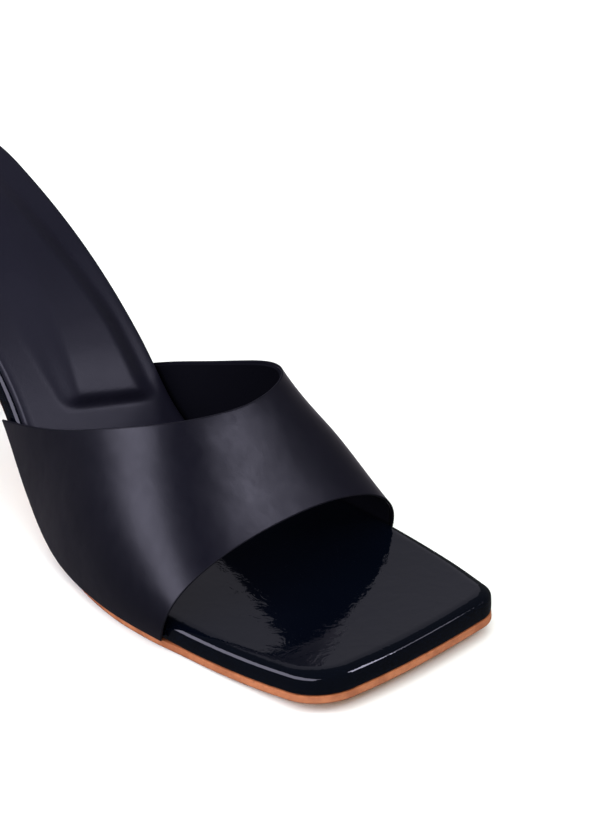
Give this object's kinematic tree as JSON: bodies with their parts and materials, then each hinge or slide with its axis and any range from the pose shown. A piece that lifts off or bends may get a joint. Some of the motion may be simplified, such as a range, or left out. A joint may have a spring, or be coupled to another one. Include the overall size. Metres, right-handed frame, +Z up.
{
  "type": "high-heeled mule",
  "caption": "Square-toe high-heeled mule for the right foot: one wide leather strap over the forefoot, patent footbed, padded sock, tan leather outsole and slim heel.",
  "frame": {"origin": "middle of the footprint, on the floor", "axes": "+X from heel to toe, +Y to the inner side of the foot, +Z up"},
  "size_m": [0.2218, 0.0848, 0.0887],
  "materials": {
    "tan_leather": "natural sole leather with a waxed edge",
    "patent_leather": "black patent, high gloss",
    "sock_leather": "matte black, padded",
    "smooth_leather": "smooth black, satin",
    "heel_rubber": "matte black"
  },
  "bodies": {
    "root": {"outsole": "tan_leather", "footbed": "patent_leather", "sock": "sock_leather", "strap": "smooth_leather", "heel": "smooth_leather", "top_piece": "heel_rubber"}
  },
  "joints": []
}
